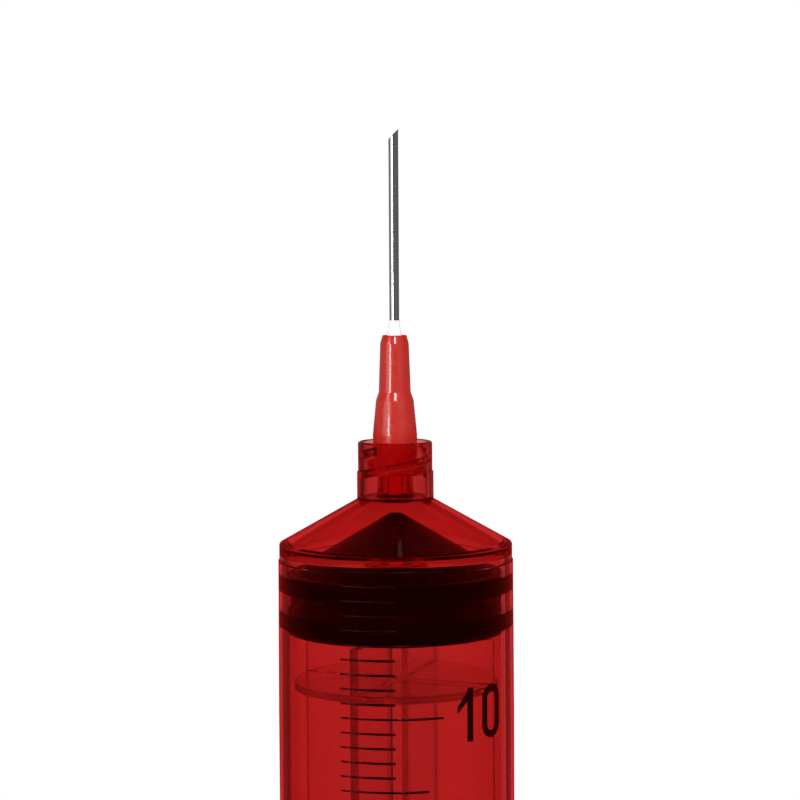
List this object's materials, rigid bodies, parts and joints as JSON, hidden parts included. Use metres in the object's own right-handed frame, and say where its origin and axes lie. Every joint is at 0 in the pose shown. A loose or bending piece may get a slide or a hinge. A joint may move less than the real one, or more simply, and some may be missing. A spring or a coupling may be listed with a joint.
{
  "type": "disposable syringe",
  "caption": "Large locking-collar syringe with a finned plunger rod, rubber stopper, printed millilitre scale and a screw-on needle in a moulded hub.",
  "frame": {"origin": "centre of the thumb rest's rear face, which is also the bottom centre of the bounding box", "axes": "+Z along the syringe's axis to the needle point, -Y out of the printed scale, +X along one wing of the finger flange"},
  "size_m": [0.047, 0.033, 0.188],
  "materials": {
    "barrel_plastic": "clear moulded plastic, tinted red",
    "rod_plastic": "clear moulded plastic, tinted red",
    "stopper_rubber": "smooth black moulded rubber, lightly oiled",
    "hub_plastic": "opaque red moulded plastic",
    "needle_steel": "drawn stainless steel, bright",
    "adhesive": "cured clear-white adhesive",
    "ink": "black screen print"
  },
  "bodies": {
    "barrel": {"barrel": "barrel_plastic", "unit_marks": "ink", "five_marks": "ink", "ten_marks": "ink", "scale_numbers": "ink"},
    "stopper": {"stopper": "stopper_rubber"},
    "plunger": {"plunger_rod": "rod_plastic"},
    "needle": {"cannula": "needle_steel", "adhesive_bead": "adhesive"},
    "hub": {"needle_hub": "hub_plastic"}
  },
  "joints": [
    {"name": "plunger_slide", "type": "slide", "parent": "barrel", "child": "stopper", "axis": [0, 0, 1], "range_m": [-0.1065, 0.00174]},
    {"name": "rod_spin", "type": "hinge", "parent": "stopper", "child": "plunger", "pos_m": [0, 0, 0.13], "axis": [0, 0, 1], "continuous": true},
    {"name": "needle_lift", "type": "slide", "parent": "barrel", "child": "needle", "axis": [0, 0, 1], "range_m": [0, 0.008]},
    {"name": "needle_twist", "type": "hinge", "parent": "needle", "child": "hub", "pos_m": [0, 0, 0.15], "axis": [0, 0, 1], "range_deg": [0, 720]}
  ],
  "couplings": [
    {"joint": "needle_twist", "follows": "needle_lift", "rad_per_m": 1256.6}
  ]
}
